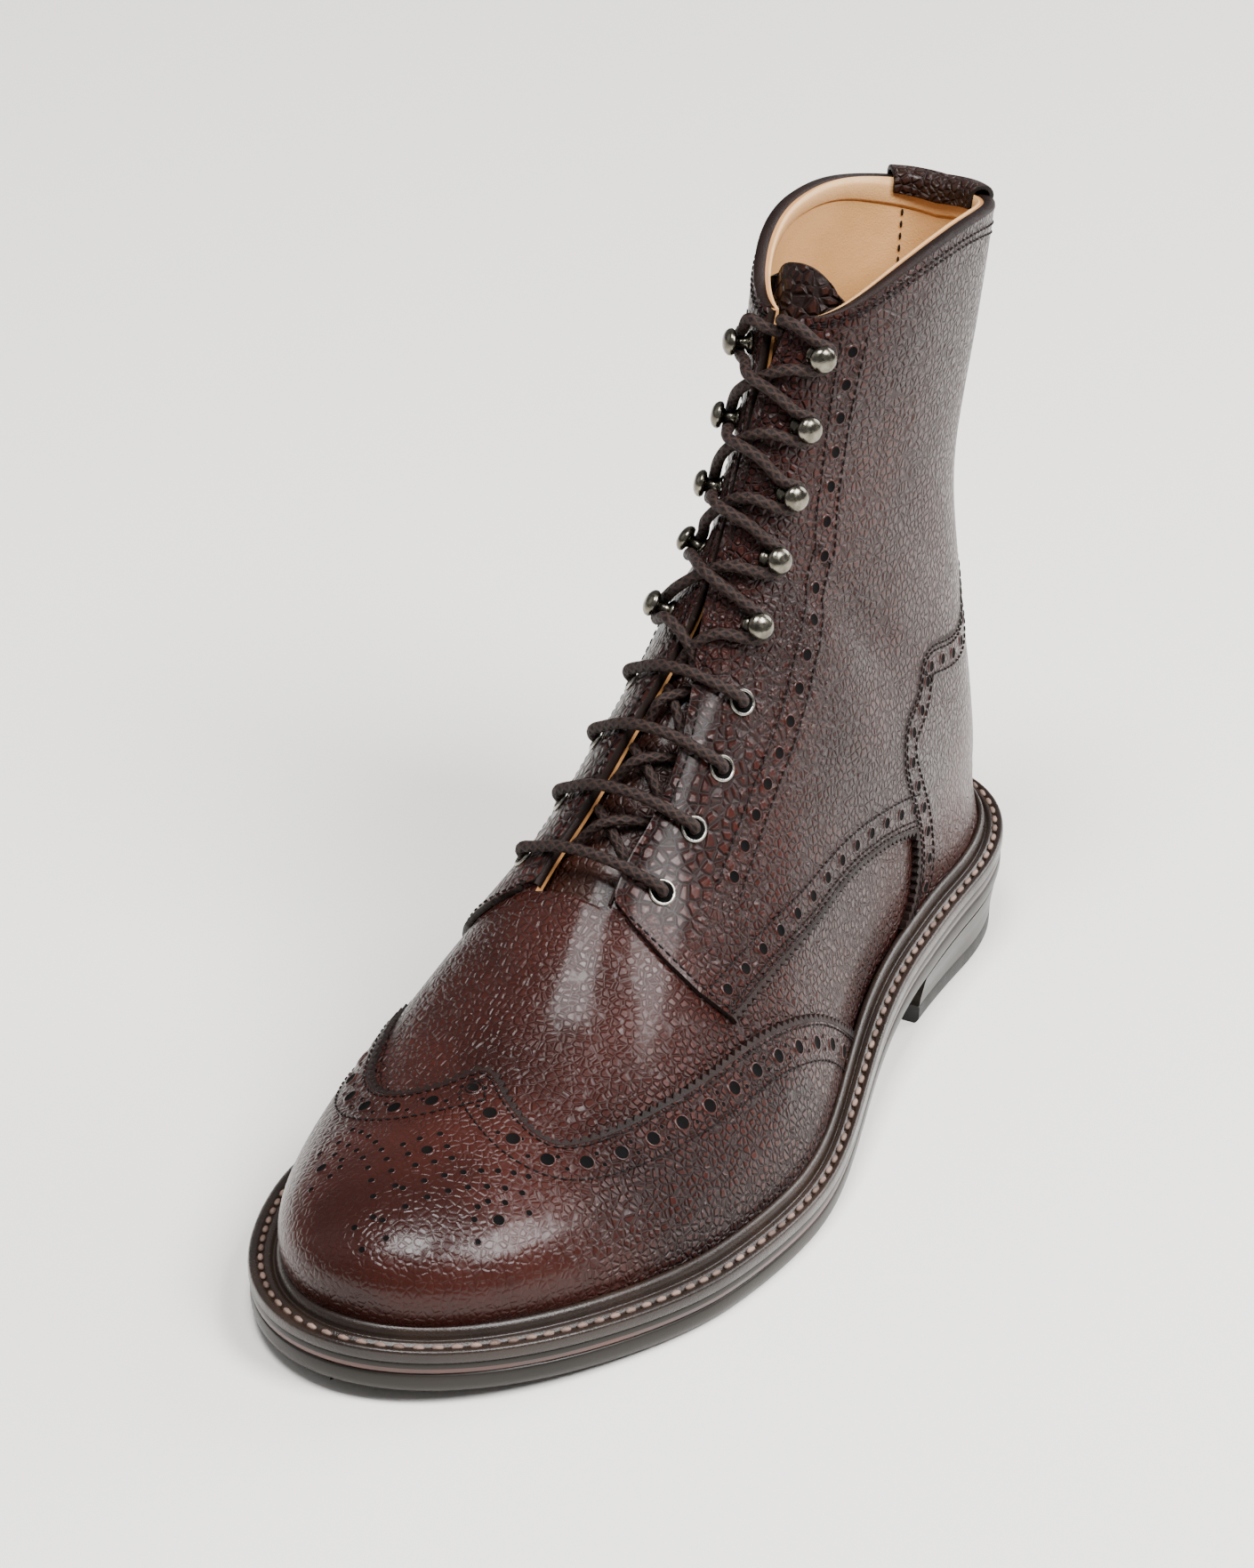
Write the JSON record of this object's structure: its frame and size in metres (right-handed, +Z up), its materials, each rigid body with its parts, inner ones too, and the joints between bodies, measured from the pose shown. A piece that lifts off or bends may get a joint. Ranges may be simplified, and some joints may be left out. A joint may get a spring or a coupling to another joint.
{
  "type": "brogue boot",
  "caption": "Left derby wingtip boot in dark brown grained leather, punched, with storm welt, low heel, laced over eyelets and speed hooks",
  "frame": {"origin": "on the floor under the middle of the heel, which stands on Z = 0", "axes": "+X lateral side of the left boot, -Y towards the toe, +Z up"},
  "size_m": [0.1214, 0.308, 0.2096],
  "materials": {
    "outsole": "satin dark brown rubber",
    "midsole": "dark stained edge",
    "welt": "dark brown, pale stitch",
    "insole": "natural tan",
    "heel": "polished dark stack",
    "heel_top_piece": "matt",
    "upper": "dark brown, smooth grain",
    "tongue": "dark brown pebble grain",
    "wing_cap": "dark brown, punched",
    "quarter_lateral": "dark brown pebble grain",
    "quarter_medial": "dark brown pebble grain",
    "heel_counter": "dark brown, punched",
    "pull_loop": "dark brown folded strap",
    "lace_cross": "dark brown round braid",
    "lace_bar_1": "dark brown round braid",
    "lace_bar_2": "dark brown round braid",
    "lace_bar_3": "dark brown round braid",
    "lace_bar_4": "dark brown round braid",
    "eyelet_lateral_1": "antique dark metal",
    "eyelet_medial_1": "antique dark metal",
    "eyelet_lateral_2": "antique dark metal",
    "eyelet_medial_2": "antique dark metal",
    "eyelet_lateral_3": "antique dark metal",
    "eyelet_medial_3": "antique dark metal",
    "eyelet_lateral_4": "antique dark metal",
    "eyelet_medial_4": "antique dark metal",
    "hook_lateral_1": "antique dark metal",
    "hook_medial_1": "antique dark metal",
    "hook_lateral_2": "antique dark metal",
    "hook_medial_2": "antique dark metal",
    "hook_lateral_3": "antique dark metal",
    "hook_medial_3": "antique dark metal",
    "hook_lateral_4": "antique dark metal",
    "hook_medial_4": "antique dark metal",
    "hook_lateral_5": "antique dark metal",
    "hook_medial_5": "antique dark metal"
  },
  "bodies": {
    "root": {"outsole": "outsole", "midsole": "midsole", "welt": "welt", "insole": "insole", "heel": "heel", "heel_top_piece": "heel_top_piece", "upper": "upper", "tongue": "tongue", "wing_cap": "wing_cap", "quarter_lateral": "quarter_lateral", "quarter_medial": "quarter_medial", "heel_counter": "heel_counter", "pull_loop": "pull_loop", "lace_cross": "lace_cross", "lace_bar_1": "lace_bar_1", "lace_bar_2": "lace_bar_2", "lace_bar_3": "lace_bar_3", "lace_bar_4": "lace_bar_4", "eyelet_lateral_1": "eyelet_lateral_1", "eyelet_medial_1": "eyelet_medial_1", "eyelet_lateral_2": "eyelet_lateral_2", "eyelet_medial_2": "eyelet_medial_2", "eyelet_lateral_3": "eyelet_lateral_3", "eyelet_medial_3": "eyelet_medial_3", "eyelet_lateral_4": "eyelet_lateral_4", "eyelet_medial_4": "eyelet_medial_4", "hook_lateral_1": "hook_lateral_1", "hook_medial_1": "hook_medial_1", "hook_lateral_2": "hook_lateral_2", "hook_medial_2": "hook_medial_2", "hook_lateral_3": "hook_lateral_3", "hook_medial_3": "hook_medial_3", "hook_lateral_4": "hook_lateral_4", "hook_medial_4": "hook_medial_4", "hook_lateral_5": "hook_lateral_5", "hook_medial_5": "hook_medial_5"}
  },
  "joints": []
}
